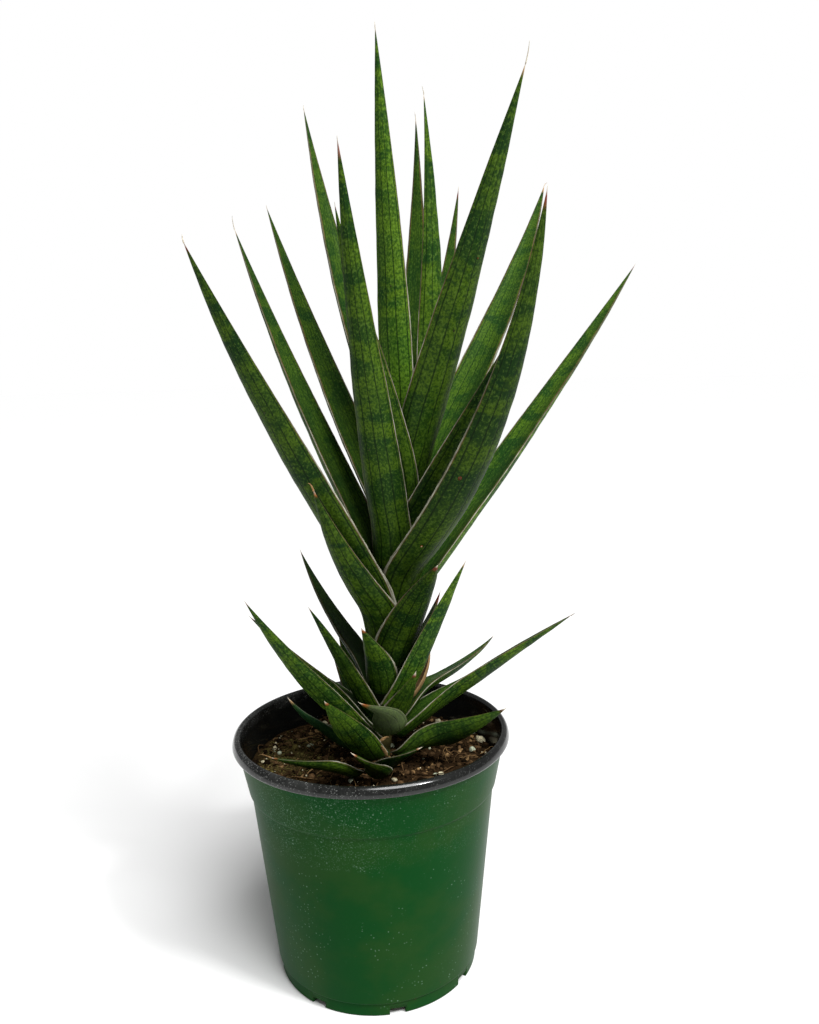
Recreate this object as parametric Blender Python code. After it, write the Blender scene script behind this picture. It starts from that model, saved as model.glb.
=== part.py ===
import math

import bmesh
import bpy
import numpy as np

# A snake plant of the channelled, spear-leaved kind in a four-inch round nursery pot.
# Sizes are in millimetres and degrees until the meshes are written in metres.
# The origin is the centre of the pot's underside, +Z is up and -Y is the front.
MM = 0.001

# Pot: a thin green shell with a stiff turned rim, a collar below it and a tapered body.
POT_RIM_RADIUS = 54.0
POT_HEIGHT = 97.0
POT_WALL = 1.2
POT_FLOOR = 1.6
RIM_BAND = 4.0
RIM_OVERHANG = 2.1
COLLAR_HEIGHT = 21.0
COLLAR_BOTTOM = POT_HEIGHT - COLLAR_HEIGHT
COLLAR_STEP = 0.9
BODY_TOP_RADIUS = 47.6
BODY_FOOT_RADIUS = 40.4
FOOT_BAND = 5.5
FOOT_STEP = 1.0
DRAIN_COUNT = 8
DRAIN_WIDTH = 6.0
DRAIN_HEIGHT = 2.6
DRAIN_DEPTH = 5.0
DRAIN_FIRST = 279.0
POT_SEGMENTS = 72

# Potting mix: a loose plug that fills the pot to a finger's width below the rim.
MIX_HEADSPACE = 13.0
MIX_LEVEL = POT_HEIGHT - MIX_HEADSPACE
MIX_DISH = 1.5
MIX_CLEARANCE = 0.3

# Stem: one leaning upright that the leaves clasp.
STEM_FOOT_X = 3.0
STEM_LEAN = 0.105
STEM_RADIUS = 4.2
STEM_TOP_RADIUS = 3.4
STEM_HEIGHT = 122.0
STEM_BURIED = 14.0
STEM_CLEARANCE = 0.3

# Leaves: a crescent section that starts round the stem and narrows to a spine.
LEAF_THICKNESS = 3.0
DRY_THICKNESS = 1.6
LEAF_BASE_SHARE = 0.66
LEAF_EDGE = 0.5
LEAF_TIP = 0.5
LEAF_CUP = 62.0
LEAF_WRAP = 84.0
LEAF_LEAST_WRAP = 40.0
CLASP_REACH = 16.0
LEAF_FULL = 0.22
ROLL_START = 0.05
ROLL_SPAN = 0.4
LEAF_TAPER = 1.55
BASE_STATIONS = (0.0, 4.0, 9.0, 16.0, 26.0)
UPPER_STATIONS = 6
ACROSS = 5
STEPS = 120

# The table's seats and gaps, and the stem's height, suit this leaf thickness and stem radius.
# They spread with both, so that the clasping bases stay clear of each other.
TABLE_THICKNESS = 3.0
TABLE_STEM_RADIUS = 4.2
SPREAD = (LEAF_THICKNESS / TABLE_THICKNESS) * (STEM_RADIUS / TABLE_STEM_RADIUS)

# name, seat above the mix, gap round the stem, heading, lean at the seat, lean in the
# blade, lean at the spine, length, width, sway of the heading, roll of the blade.
# Headings run anticlockwise from +X seen from above, and leans are from the vertical.
LEAVES = (
    ("leaf_01", 1.5, 17.5, 242, 58, 75, 76, 36, 10, -92, -30),
    ("leaf_02", 1.5, 17, 267, 50, 44, 40, 21, 10, -100, -15),
    ("leaf_03", 2, 11, 279, 58, 75, 52, 21, 10.5, 84, 10),
    ("leaf_04", 2.2, 5, 322, 60, 70, 52, 49, 14, 22, 62),
    ("leaf_05", 3.6, 5, 185.5, 68, 86, 21, 34, 13, 1, -18),
    ("leaf_06", 4, 5, 110, 60, 74, 50, 46, 13, 10, 0),
    ("leaf_07", 3, 6, 247, 50, 45, 43, 56, 14, 3, -15),
    ("leaf_08", 8, 2, 353, 50, 54, 60, 83, 18, 22, 22),
    ("leaf_09", 6, 3, 66, 50, 62, 46, 54, 12, 0, 0),
    ("leaf_10", 7, 1, 222, 48, 47, 28, 87, 14, -2, -18),
    ("leaf_11", 14, 7.4, 279, 50, 98, 48, 26, 13, -112, -30),
    ("leaf_12", 12, 0, 184, 44, 51, 38, 64, 15, -9, -18),
    ("leaf_13", 13, 0, 303, 38, 54, 18, 32, 13, -4, 0),
    ("leaf_14", 12, 1, 29, 46, 86, 72, 66, 11, 27, 20),
    ("leaf_15", 8.5, 0, 120, 44, 50, 34, 44, 13, 0, 0),
    ("leaf_16", 17.2, 0, 208, 33, 26, 25, 55, 14, 8, 0),
    ("leaf_17", 20.3, 0, 326, 30, 25.3, 24.5, 70, 15, -7, 0),
    ("leaf_18", 27.3, 0, 253, 28, 36, 34, 39, 12, -9, 0),
    ("leaf_19", 25.5, 0, 152, 31, 48, 19, 63, 11, -4, 0),
    ("leaf_20", 22, 0, 72, 28, 36, 22, 56, 10, 0, 0),
    ("leaf_21", 29.5, 0, 358, 27, 35, 14, 40, 11, 12, 0),
    ("leaf_22", 37, 0, 299, 22, 29, 47, 61, 18, -14, 0),
    ("leaf_23", 39.6, 0, 109, 22, 30, 20, 70, 15, 0, 0),
    ("leaf_24", 44.7, 0, 231, 21, 48.5, 16.5, 76, 18, 0, 0),
    ("leaf_25", 51, 0, 19, 20, 41, 44, 189, 17, 21, 0),
    ("leaf_26", 53.4, 0, 210.5, 19, 32, 32, 159, 18, 34, 0),
    ("leaf_27", 57.5, 0, 90, 19, 34, 24, 96, 14, 0, 0),
    ("leaf_28", 61, 0, 308, 18, 53, 7, 163, 20, -6, 0),
    ("leaf_29", 66.2, 0, 150, 18, 31, 19, 154, 16, -4, 0),
    ("leaf_30", 73.3, 0, 255, 18, 28, 7, 155, 15, -10, 0),
    ("leaf_31", 74, 0, 82, 18, 34, 24, 102, 13, 0, 0),
    ("leaf_32", 81.5, 0, 325, 18, 36, 28, 108, 17, -10, 0),
    ("leaf_33", 84, 0, 135, 18, 33, 21, 148, 15, -3, 0),
    ("leaf_34", 90.5, 0, 36, 18, 39, 40, 179, 18, 29, 0),
    ("leaf_35", 95.5, 0, 257, 21, 33, 5.6, 115, 15.5, -50, -12),
    ("leaf_36", 103.5, 0, 297.5, 18, 31, 25, 150, 18, 2, 0),
    ("leaf_37", 99.5, 0, 69.5, 18, 50, 14, 148, 12, -8, 0),
    ("leaf_38", 110, 0, 137, 17, 24, 10, 147, 14, -6, 0),
    ("leaf_39", 112.5, 0, 349, 16, 8, -7, 135, 14, 26, 50),
    ("leaf_40", 119.5, 0, 78, 14, 30, -6, 130, 11, -18, 0),
    ("leaf_41", 123, 0, 228, 12, 2, 0, 143, 15, 0, 0),
)
DRY_LEAVES = (
    ("dry_leaf", 21, 4.5, 18, 52, 62, -14, 27, 7, 0, 0),
)


def clearScene():
    for obj in list(bpy.data.objects):
        bpy.data.objects.remove(obj, do_unlink=True)


def material(name, colour, roughness, metallic=0.0):
    made = bpy.data.materials.new(name)
    made.use_nodes = True
    shader = made.node_tree.nodes["Principled BSDF"]
    shader.inputs["Base Color"].default_value = (*colour, 1.0)
    shader.inputs["Roughness"].default_value = roughness
    shader.inputs["Metallic"].default_value = metallic
    return made


def objectFrom(name, bm, surface, smooth=True, recalc=True):
    if recalc:
        bmesh.ops.recalc_face_normals(bm, faces=bm.faces)
    for face in bm.faces:
        face.smooth = smooth
    mesh = bpy.data.meshes.new(name)
    bm.to_mesh(mesh)
    bm.free()
    mesh.materials.append(surface)
    obj = bpy.data.objects.new(name, mesh)
    bpy.context.scene.collection.objects.link(obj)
    return obj


def lathe(name, profile, surface, segments=POT_SEGMENTS):
    """A closed profile of (radius, height) points in millimetres turned once round Z."""
    bm = bmesh.new()
    ring = [bm.verts.new((r * MM, 0.0, z * MM)) for r, z in profile]
    edges = [bm.edges.new((ring[i], ring[i - 1])) for i in range(len(ring))]
    bmesh.ops.spin(
        bm,
        geom=ring + edges,
        cent=(0, 0, 0),
        axis=(0, 0, 1),
        angle=math.tau,
        steps=segments,
        use_merge=True,
    )
    bmesh.ops.remove_doubles(bm, verts=bm.verts, dist=0.00001)
    return objectFrom(name, bm, surface)


def smoothStep(x):
    x = np.clip(x, 0.0, 1.0)
    return x * x * (3.0 - 2.0 * x)


def stemAxis(height):
    return np.array([STEM_FOOT_X + STEM_LEAN * height, 0.0, MIX_LEVEL + height])


def leafRings(
    seat, gap, heading, clasp, lean, spineLean, length, width, sway, roll, thickness
):
    """Rings of points, in millimetres, from the clasping base to the spine."""
    s = np.linspace(0.0, 1.0, STEPS + 1)
    run = s * length
    ease = smoothStep((run - CLASP_REACH * 0.4) / CLASP_REACH)
    tilt = np.radians(clasp + (lean - clasp) * ease + (spineLean - lean) * s)
    turn = np.radians(heading + sway * s)
    outward = np.stack([np.cos(turn), np.sin(turn), 0.0 * turn], 1)
    up = np.array([0.0, 0.0, 1.0])
    along = np.sin(tilt)[:, None] * outward + np.cos(tilt)[:, None] * up
    along[:, 0] += STEM_LEAN * np.cos(tilt) * (1.0 - ease)
    along /= np.linalg.norm(along, axis=1)[:, None]

    foot = STEM_RADIUS + STEM_CLEARANCE + gap * SPREAD
    baseRadius = foot + LEAF_BASE_SHARE * thickness + 0.5 * LEAF_EDGE
    middle = np.zeros((STEPS + 1, 3))
    middle[0] = stemAxis(seat * SPREAD) + outward[0] * baseRadius
    for i in range(STEPS):
        middle[i + 1] = middle[i] + 0.5 * (along[i] + along[i + 1]) * length / STEPS

    cup = math.radians(LEAF_CUP)
    fullRadius = width / 2.0 / math.sin(cup)
    fullArc = fullRadius * cup
    startRadius = min(baseRadius / math.cos(math.radians(clasp)), fullRadius)
    startArc = min(fullArc, startRadius * math.radians(LEAF_WRAP))
    narrowing = 1.0 - np.clip((s - LEAF_FULL) / (1.0 - LEAF_FULL), 0.0, 1.0) ** LEAF_TAPER
    radius = startRadius + math.tan(math.radians(clasp)) * run
    radius = np.minimum(radius, fullRadius) * narrowing
    radius = np.maximum(radius, LEAF_TIP)
    arc = (startArc + (fullArc - startArc) * smoothStep(s / 0.2)) * narrowing
    wrap = np.clip(arc / radius, math.radians(LEAF_LEAST_WRAP), math.radians(LEAF_WRAP))
    filling = LEAF_BASE_SHARE + (1.0 - LEAF_BASE_SHARE) * smoothStep(s / 0.2)
    depth = thickness * filling * np.maximum(narrowing, 0.02) ** 0.75

    stops = [stop / length for stop in BASE_STATIONS if stop < 0.6 * length]
    stops += list(np.linspace(stops[-1], 1.0, UPPER_STATIONS + 1)[1:])
    rings = []
    for stop in stops:
        i = int(round(stop * STEPS))
        outFace = np.cos(tilt[i]) * outward[i] - np.sin(tilt[i]) * up
        side = np.cross(outFace, along[i])
        side /= np.linalg.norm(side)
        outFace = np.cross(along[i], side)
        twist = math.radians(roll) * smoothStep((s[i] - ROLL_START) / ROLL_SPAN)
        outFace, side = (
            math.cos(twist) * outFace + math.sin(twist) * side,
            math.cos(twist) * side - math.sin(twist) * outFace,
        )
        angles = np.linspace(-wrap[i], wrap[i], ACROSS)
        spokes = np.sin(angles)[:, None] * side + np.cos(angles)[:, None] * outFace
        centre = middle[i] - outFace * radius[i]
        edge = LEAF_EDGE * min(1.0, radius[i] / 2.0)
        bulge = np.clip(1.0 - (angles / wrap[i]) ** 2, 0.0, 1.0) ** 0.6
        wall = np.minimum((depth[i] - 0.5 * edge) * bulge + edge, 0.85 * radius[i])
        outer = centre + radius[i] * spokes
        inner = centre + (radius[i] - wall)[:, None] * spokes
        rings.append(np.concatenate([outer, inner[::-1]]))
    return rings


def buildLeaf(row, surface, thickness=LEAF_THICKNESS):
    bm = bmesh.new()
    loops = []
    for ring in leafRings(*row[1:], thickness):
        verts = [bm.verts.new(tuple(point * MM)) for point in ring]
        loops.append(verts)
    count = len(loops[0])
    for lower, upper in zip(loops, loops[1:]):
        for i in range(count):
            j = (i + 1) % count
            bm.faces.new((lower[i], upper[i], upper[j], lower[j]))
    for i in range(count // 2 - 1):
        a, b, c, d = i, i + 1, count - 2 - i, count - 1 - i
        bm.faces.new([loops[0][k] for k in (a, b, c, d)])
        bm.faces.new([loops[-1][k] for k in (d, c, b, a)])
    return objectFrom(row[0], bm, surface, recalc=False)


def bodyRadius(z):
    """Outer radius of the tapered body at a height below the collar."""
    span = COLLAR_BOTTOM - FOOT_BAND
    return BODY_FOOT_RADIUS + (BODY_TOP_RADIUS - BODY_FOOT_RADIUS) * (z - FOOT_BAND) / span


def buildPot(surface):
    rimInner = POT_RIM_RADIUS - RIM_OVERHANG - POT_WALL
    bandFoot = POT_HEIGHT - RIM_BAND
    collarTop = POT_RIM_RADIUS - RIM_OVERHANG
    collarFoot = BODY_TOP_RADIUS + COLLAR_STEP
    footRadius = BODY_FOOT_RADIUS - FOOT_STEP
    profile = (
        (0.0, 0.0),
        (footRadius, 0.0),
        (footRadius, FOOT_BAND - 0.4),
        (BODY_FOOT_RADIUS, FOOT_BAND),
        (BODY_TOP_RADIUS, COLLAR_BOTTOM - 0.8),
        (collarFoot, COLLAR_BOTTOM),
        (collarTop, bandFoot),
        (POT_RIM_RADIUS - 0.4, bandFoot),
        (POT_RIM_RADIUS, bandFoot + 0.5),
        (POT_RIM_RADIUS, POT_HEIGHT - 0.9),
        (POT_RIM_RADIUS - 0.9, POT_HEIGHT),
        (rimInner + 0.7, POT_HEIGHT),
        (rimInner, POT_HEIGHT - 0.8),
        (rimInner, bandFoot),
        (collarFoot - POT_WALL, COLLAR_BOTTOM),
        (BODY_TOP_RADIUS - POT_WALL, COLLAR_BOTTOM - 0.8),
        (BODY_FOOT_RADIUS - POT_WALL, FOOT_BAND),
        (footRadius - POT_WALL, FOOT_BAND - 0.4),
        (footRadius - POT_WALL, POT_FLOOR),
        (0.0, POT_FLOOR),
    )
    pot = lathe("pot", profile, surface)
    for k in range(DRAIN_COUNT):
        turn = math.radians(DRAIN_FIRST + 360.0 * k / DRAIN_COUNT)
        reach = DRAIN_DEPTH + 4.0
        centre = footRadius - DRAIN_DEPTH + reach / 2.0
        bm = bmesh.new()
        bmesh.ops.create_cube(bm, size=1.0)
        cutter = objectFrom(f"drain_cutter_{k + 1}", bm, surface, smooth=False)
        cutter.scale = (reach * MM, DRAIN_WIDTH * MM, 2.0 * DRAIN_HEIGHT * MM)
        cutter.rotation_euler = (0.0, 0.0, turn)
        cutter.location = (centre * math.cos(turn) * MM, centre * math.sin(turn) * MM, 0.0)
        cutter.hide_render = True
        cutter.display_type = "WIRE"
        cut = pot.modifiers.new(f"drain_{k + 1}", "BOOLEAN")
        cut.operation = "DIFFERENCE"
        cut.solver = "EXACT"
        cut.object = cutter
    return pot


def wallInside(z):
    """Inner radius of the pot wall at a height inside the mix."""
    if z <= COLLAR_BOTTOM - 0.8:
        return bodyRadius(z) - POT_WALL
    low = BODY_TOP_RADIUS + COLLAR_STEP - POT_WALL
    high = POT_RIM_RADIUS - RIM_OVERHANG - POT_WALL
    share = (z - COLLAR_BOTTOM) / (POT_HEIGHT - RIM_BAND - COLLAR_BOTTOM)
    return low + (high - low) * max(0.0, share)


def buildMix(surface):
    edgeLevel = MIX_LEVEL - MIX_DISH
    bottom = POT_FLOOR + MIX_CLEARANCE
    footRadius = BODY_FOOT_RADIUS - FOOT_STEP - POT_WALL - MIX_CLEARANCE
    wall = (
        (bodyRadius(FOOT_BAND) - POT_WALL - MIX_CLEARANCE, FOOT_BAND + 1.0),
        (wallInside(COLLAR_BOTTOM - 1.6) - MIX_CLEARANCE, COLLAR_BOTTOM - 1.6),
        (wallInside(COLLAR_BOTTOM) - MIX_CLEARANCE - 0.3, COLLAR_BOTTOM + 0.6),
    )
    profile = (
        (0.0, bottom),
        (footRadius, bottom),
        (footRadius, FOOT_BAND),
        *[point for point in wall if point[1] < edgeLevel],
        (wallInside(edgeLevel) - MIX_CLEARANCE, edgeLevel),
        (0.6 * POT_RIM_RADIUS, MIX_LEVEL - 0.5 * MIX_DISH),
        (0.3 * POT_RIM_RADIUS, MIX_LEVEL),
        (0.0, MIX_LEVEL),
    )
    mix = lathe("potting_mix", profile, surface)
    bm = bmesh.new()
    bmesh.ops.create_cone(
        bm,
        cap_ends=True,
        segments=24,
        radius1=(STEM_RADIUS + STEM_CLEARANCE) * MM,
        radius2=(STEM_RADIUS + STEM_CLEARANCE) * MM,
        depth=2.0 * (STEM_BURIED + STEM_CLEARANCE) * MM,
    )
    leanMesh(bm)
    bmesh.ops.translate(bm, verts=bm.verts, vec=(STEM_FOOT_X * MM, 0.0, MIX_LEVEL * MM))
    cutter = objectFrom("stem_socket_cutter", bm, surface, smooth=False)
    cutter.hide_render = True
    cutter.display_type = "WIRE"
    cut = mix.modifiers.new("stem_socket", "BOOLEAN")
    cut.operation = "DIFFERENCE"
    cut.solver = "EXACT"
    cut.object = cutter
    return mix


def leanMesh(bm):
    """Shears upright geometry so that it follows the stem's lean."""
    for vert in bm.verts:
        vert.co.x += STEM_LEAN * vert.co.z


def buildStem(surface):
    height = STEM_HEIGHT * SPREAD
    bm = bmesh.new()
    bmesh.ops.create_cone(
        bm,
        cap_ends=True,
        segments=24,
        radius1=STEM_RADIUS * MM,
        radius2=STEM_TOP_RADIUS * MM,
        depth=(height + STEM_BURIED) * MM,
    )
    lift = (height - STEM_BURIED) / 2.0
    bmesh.ops.translate(bm, verts=bm.verts, vec=(0.0, 0.0, lift * MM))
    leanMesh(bm)
    bmesh.ops.translate(bm, verts=bm.verts, vec=(STEM_FOOT_X * MM, 0.0, MIX_LEVEL * MM))
    return objectFrom("stem", bm, surface)


clearScene()
potPlastic = material("pot_plastic", (0.012, 0.10, 0.022), 0.38)
peat = material("potting_mix", (0.045, 0.024, 0.012), 0.95)
stemSkin = material("stem", (0.10, 0.17, 0.03), 0.6)
leafSkin = material("leaf", (0.035, 0.11, 0.018), 0.42)
driedSkin = material("dried_leaf", (0.45, 0.33, 0.18), 0.85)
buildPot(potPlastic)
buildMix(peat)
buildStem(stemSkin)
for leafRow in LEAVES:
    buildLeaf(leafRow, leafSkin)
for leafRow in DRY_LEAVES:
    buildLeaf(leafRow, driedSkin, DRY_THICKNESS)
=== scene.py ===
import math
import random

import bmesh
import bpy
import numpy as np
from mathutils import Matrix, Vector, noise


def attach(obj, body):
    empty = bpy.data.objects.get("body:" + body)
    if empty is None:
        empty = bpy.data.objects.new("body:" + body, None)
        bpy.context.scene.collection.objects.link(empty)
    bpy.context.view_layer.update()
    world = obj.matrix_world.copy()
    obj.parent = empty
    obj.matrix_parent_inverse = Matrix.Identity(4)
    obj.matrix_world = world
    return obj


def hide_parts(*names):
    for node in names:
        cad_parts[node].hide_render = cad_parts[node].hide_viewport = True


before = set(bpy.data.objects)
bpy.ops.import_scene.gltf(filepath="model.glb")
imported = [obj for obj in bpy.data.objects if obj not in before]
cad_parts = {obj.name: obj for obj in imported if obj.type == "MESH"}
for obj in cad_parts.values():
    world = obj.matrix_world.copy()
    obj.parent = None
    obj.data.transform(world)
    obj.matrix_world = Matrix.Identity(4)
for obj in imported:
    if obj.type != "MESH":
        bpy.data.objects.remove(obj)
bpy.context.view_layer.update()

mm = 0.001
print("frame in place")


# shared helpers
def smoothStep(x):
    x = np.clip(x, 0.0, 1.0)
    return x * x * (3.0 - 2.0 * x)


def wobble(x, y, z=0.0):  # smooth noise, about -1 to 1
    return noise.noise(Vector((x, y, z)))


def addNode(tree, kind, inputs=(), **settings):
    node = tree.nodes.new("ShaderNode" + kind)
    for key, value in settings.items():
        setattr(node, key, value)
    for key, value in dict(inputs).items():
        if isinstance(value, bpy.types.NodeSocket):
            tree.links.new(value, node.inputs[key])
        else:
            node.inputs[key].default_value = value
    return node


def mathNode(tree, operation, a, b=0.0, clamp=False):
    return addNode(tree, "Math", {0: a, 1: b}, operation=operation, use_clamp=clamp).outputs[0]


def times(tree, a, b):
    return mathNode(tree, "MULTIPLY", a, b)


def plus(tree, a, b, clamp=False):
    return mathNode(tree, "ADD", a, b, clamp)


def spread(tree, value, low, high, start=0.0, end=1.0):  # a smooth step from start to end
    settings = {0: value, 1: low, 2: high, 3: start, 4: end}
    made = addNode(tree, "MapRange", settings, interpolation_type="SMOOTHSTEP")
    return made.outputs[0]


def mixColour(tree, factor, a, b, blend="MIX"):
    return addNode(tree, "Mix", {0: factor, 6: a, 7: b}, data_type="RGBA", blend_type=blend).outputs[2]


def vectorNode(tree, operation, a, b):
    return addNode(tree, "VectorMath", {0: a, 1: b}, operation=operation).outputs[0]


def noiseNode(tree, vector, stretch, detail=3.0, roughness=0.55, distortion=0.0):
    scaled = vectorNode(tree, "MULTIPLY", vector, stretch)
    settings = {"Vector": scaled, "Scale": 1.0, "Detail": detail, "Roughness": roughness}
    settings["Distortion"] = distortion
    return addNode(tree, "TexNoise", settings).outputs[0]


def dots(tree, vector, scale, size, share):  # small round specks, a share of the cells having one
    cells = addNode(tree, "TexVoronoi", {"Vector": vector, "Scale": scale})
    draw = addNode(tree, "SeparateColor", {0: cells.outputs["Color"]}).outputs[0]
    chosen = spread(tree, draw, 1.0 - share, 1.02 - share)
    return times(tree, spread(tree, cells.outputs["Distance"], size * 0.5, size, 1.0, 0.0), chosen)


def warp(tree, place, fineness, amount):  # a small push that makes round shapes irregular
    scaled = vectorNode(tree, "MULTIPLY", place, (fineness, fineness, fineness))
    push = addNode(tree, "TexNoise", {"Vector": scaled, "Scale": 1.0, "Detail": 2.0}).outputs["Color"]
    centred = vectorNode(tree, "SUBTRACT", push, (0.5, 0.5, 0.5))
    return vectorNode(tree, "MULTIPLY", centred, (amount, amount, amount))


def attribute(tree, name, output="Vector"):
    return addNode(tree, "Attribute", attribute_name=name).outputs[output]


def newMaterial(name, gloss=0.0, glossRoughness=0.3):  # the gloss is a thin coat over a plain base
    made = bpy.data.materials.new(name)
    made.use_nodes = True
    shader = made.node_tree.nodes["Principled BSDF"]
    shader.inputs["Specular IOR Level"].default_value = 0.02
    shader.inputs["Coat Weight"].default_value = gloss
    shader.inputs["Coat Roughness"].default_value = glossRoughness
    return made, made.node_tree, shader


def finishShader(tree, shader, colour, roughness, height, depth, strength):
    tree.links.new(colour, shader.inputs["Base Color"])
    if isinstance(roughness, bpy.types.NodeSocket):
        tree.links.new(roughness, shader.inputs["Roughness"])
    else:
        shader.inputs["Roughness"].default_value = roughness
    bump = addNode(tree, "Bump", {"Height": height, "Distance": depth, "Strength": strength})
    tree.links.new(bump.outputs[0], shader.inputs["Normal"])


def pieceFrom(bm, name, materials, replaced=None, merge=0.00001):
    if merge:
        bmesh.ops.remove_doubles(bm, verts=bm.verts, dist=merge)
    bmesh.ops.recalc_face_normals(bm, faces=bm.faces)
    for face in bm.faces:
        face.smooth = True
    mesh = bpy.data.meshes.new(name)
    bm.to_mesh(mesh)
    bm.free()
    for material in materials:
        mesh.materials.append(material)
    piece = bpy.data.objects.new(name, mesh)
    bpy.context.scene.collection.objects.link(piece)
    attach(piece, "root")
    if replaced:
        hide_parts(replaced)
    return piece


def bentGrid(bm, points, layers):  # a grid bent onto rows of points in metres, with values for its layers
    rows, columns = points.shape[:2]
    made = bmesh.ops.create_grid(bm, x_segments=columns - 1, y_segments=rows - 1, size=0.5)
    for vert in made["verts"]:
        row = round((vert.co.y + 0.5) * (rows - 1))
        column = round((vert.co.x + 0.5) * (columns - 1))
        vert.co = points[row, column]
        for layer, values in layers:
            vert[layer] = values[row, column]


def tubePoints(path, radii, sides, flat=1.0):  # rings round a path in millimetres, closed at both ends
    path = np.asarray(path, float)
    along = np.gradient(path, axis=0)
    along /= np.linalg.norm(along, axis=1)[:, None]
    helper = np.array([0.31, 0.87, 0.38])
    side = np.cross(along, helper)
    side /= np.linalg.norm(side, axis=1)[:, None]
    other = np.cross(along, side)
    turn = np.linspace(0.0, math.tau, sides + 1)
    rings = path[:, None] + np.asarray(radii)[:, None, None] * (
        np.cos(turn)[None, :, None] * side[:, None] + np.sin(turn)[None, :, None] * other[:, None] * flat
    )
    rings[0] = path[0]
    rings[-1] = path[-1]
    return rings * mm


def roundedProfile(points, radius, cuts=4):  # each corner of an open profile turned into a short curve
    points = [np.array(point, float) for point in points]
    made = [points[0]]
    for before, corner, after in zip(points, points[1:], points[2:]):
        back, ahead = before - corner, after - corner
        reach = min(radius, 0.45 * np.linalg.norm(back), 0.45 * np.linalg.norm(ahead))
        start = corner + back / np.linalg.norm(back) * reach
        end = corner + ahead / np.linalg.norm(ahead) * reach
        for t in np.linspace(0.0, 1.0, cuts):
            made.append((1 - t) ** 2 * start + 2 * t * (1 - t) * corner + t * t * end)
    made.append(points[-1])
    return made


def spunMesh(profile, steps):
    bm = bmesh.new()
    ring = [bm.verts.new((r * mm, 0.0, z * mm)) for r, z in profile]
    edges = [bm.edges.new(pair) for pair in zip(ring, ring[1:])]
    bmesh.ops.spin(
        bm, geom=ring + edges, cent=(0, 0, 0), axis=(0, 0, 1), angle=math.tau,
        steps=steps, use_merge=True,
    )
    bmesh.ops.remove_doubles(bm, verts=bm.verts, dist=0.00001)
    return bm


def scatterPiece(name, material, makers):  # many small closed shapes in one mesh, each with a tone
    bm = bmesh.new()
    layer = bm.verts.layers.float_color.new("tone")
    for template, place, tone, shape in makers:
        first = len(bm.verts)
        bm.from_mesh(template)
        bm.verts.ensure_lookup_table()
        for vert in bm.verts[first:]:
            x, y, z = [1.7 * value for value in vert.co]
            vert.co *= 1.0 + shape * wobble(x + first, y, z)
            vert.co = place @ vert.co
            vert[layer] = (*tone, 1.0)
    return pieceFrom(bm, name, [material], merge=0.0)


def templateMesh(maker, **settings):
    bm = bmesh.new()
    bm.verts.layers.float_color.new("tone")
    getattr(bmesh.ops, maker)(bm, **settings)
    mesh = bpy.data.meshes.new("template")
    bm.to_mesh(mesh)
    bm.free()
    return mesh


# leaves
leafTable = {  # seat, gap, heading, clasp, lean, spine lean, length, width, sway, roll
    1: (1.5, 17.5, 242, 58, 75, 76, 36, 10, -92, -30),
    2: (1.5, 17, 267, 50, 44, 40, 21, 10, -100, -15),
    3: (2, 11, 279, 58, 75, 52, 21, 10.5, 84, 10),
    4: (2.2, 5, 322, 60, 70, 52, 49, 14, 22, 62),
    5: (3.6, 5, 185.5, 68, 86, 21, 34, 13, 1, -18),
    6: (4, 5, 110, 60, 74, 50, 46, 13, 10, 0),
    7: (3, 6, 247, 50, 45, 43, 56, 14, 3, -15),
    8: (8, 2, 353, 50, 54, 60, 83, 18, 22, 22),
    9: (6, 3, 66, 50, 62, 46, 54, 12, 0, 0),
    10: (7, 1, 222, 48, 47, 28, 87, 14, -2, -18),
    11: (14, 7.4, 279, 50, 98, 48, 26, 13, -112, -30),
    12: (12, 0, 184, 44, 51, 38, 64, 15, -9, -18),
    13: (13, 0, 303, 38, 54, 18, 32, 13, -4, 0),
    14: (12, 1, 29, 46, 86, 72, 66, 11, 27, 20),
    15: (8.5, 0, 120, 44, 50, 34, 44, 13, 0, 0),
    16: (17.2, 0, 208, 33, 26, 25, 55, 14, 8, 0),
    17: (20.3, 0, 326, 30, 25.3, 24.5, 70, 15, -7, 0),
    18: (27.3, 0, 253, 28, 36, 34, 39, 12, -9, 0),
    19: (25.5, 0, 152, 31, 48, 19, 63, 11, -4, 0),
    20: (22, 0, 72, 28, 36, 22, 56, 10, 0, 0),
    21: (29.5, 0, 358, 27, 35, 14, 40, 11, 12, 0),
    22: (37, 0, 299, 22, 29, 47, 61, 18, -14, 0),
    23: (39.6, 0, 109, 22, 30, 20, 70, 15, 0, 0),
    24: (44.7, 0, 231, 21, 48.5, 16.5, 76, 18, 0, 0),
    25: (51, 0, 19, 20, 41, 44, 189, 17, 21, 0),
    26: (53.4, 0, 210.5, 19, 32, 32, 159, 18, 34, 0),
    27: (57.5, 0, 90, 19, 34, 24, 96, 14, 0, 0),
    28: (61, 0, 308, 18, 53, 7, 163, 20, -6, 0),
    29: (66.2, 0, 150, 18, 31, 19, 154, 16, -4, 0),
    30: (73.3, 0, 255, 18, 28, 7, 155, 15, -10, 0),
    31: (74, 0, 82, 18, 34, 24, 102, 13, 0, 0),
    32: (81.5, 0, 325, 18, 36, 28, 108, 17, -10, 0),
    33: (84, 0, 135, 18, 33, 21, 148, 15, -3, 0),
    34: (90.5, 0, 36, 18, 39, 40, 179, 18, 29, 0),
    35: (95.5, 0, 257, 21, 33, 5.6, 115, 15.5, -50, -12),
    36: (103.5, 0, 297.5, 18, 31, 25, 150, 18, 2, 0),
    37: (99.5, 0, 69.5, 18, 50, 14, 148, 12, -8, 0),
    38: (110, 0, 137, 17, 24, 10, 147, 14, -6, 0),
    39: (112.5, 0, 349, 16, 8, -7, 135, 14, 26, 50),
    40: (119.5, 0, 78, 14, 30, -6, 130, 11, -18, 0),
    41: (123, 0, 228, 12, 2, 0, 143, 15, 0, 0),
}
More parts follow.
